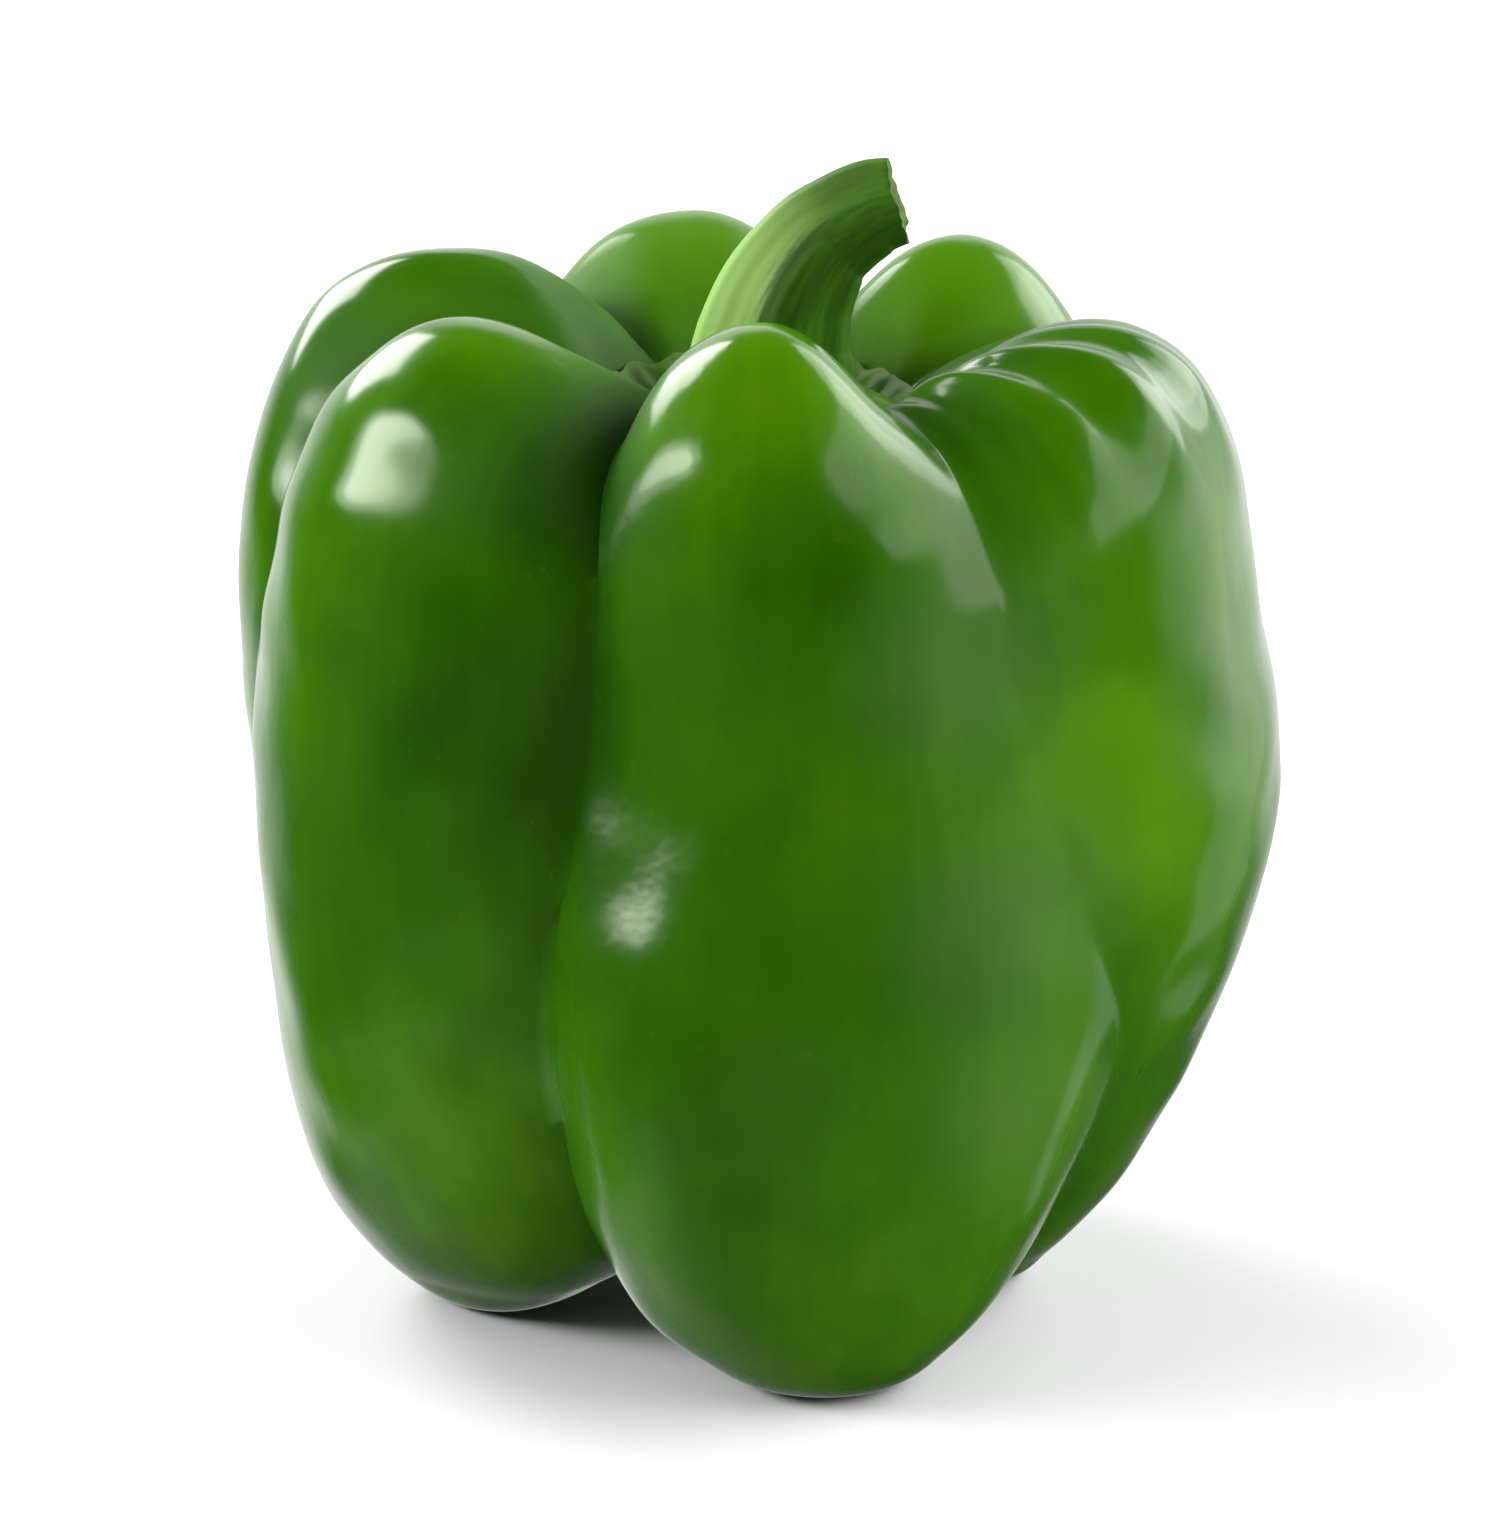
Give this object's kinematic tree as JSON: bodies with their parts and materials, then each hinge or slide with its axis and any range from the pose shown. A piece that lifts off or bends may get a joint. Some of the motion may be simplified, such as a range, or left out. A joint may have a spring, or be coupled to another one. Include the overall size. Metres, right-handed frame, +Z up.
{
  "type": "bell pepper",
  "caption": "Green bell pepper with deep lobes and a curved cut stem rising from its calyx, standing upright on the rounded feet of its lobes.",
  "frame": {"origin": "middle of the bounding box's bottom face, on the surface that the feet stand on", "axes": "+Z up from the feet to the stem, +X towards the side that the stem leans to, -Y towards the front lobe"},
  "size_m": [0.0871, 0.0843, 0.0958],
  "materials": {
    "fruit_skin": "waxy, smooth and glossy deep green skin",
    "calyx_skin": "satin green with fine ribs",
    "stem_skin": "satin green, ribbed along its length, with a dry cut end"
  },
  "bodies": {
    "root": {"pepper_body": "fruit_skin", "calyx": "calyx_skin", "stem": "stem_skin"}
  },
  "joints": []
}
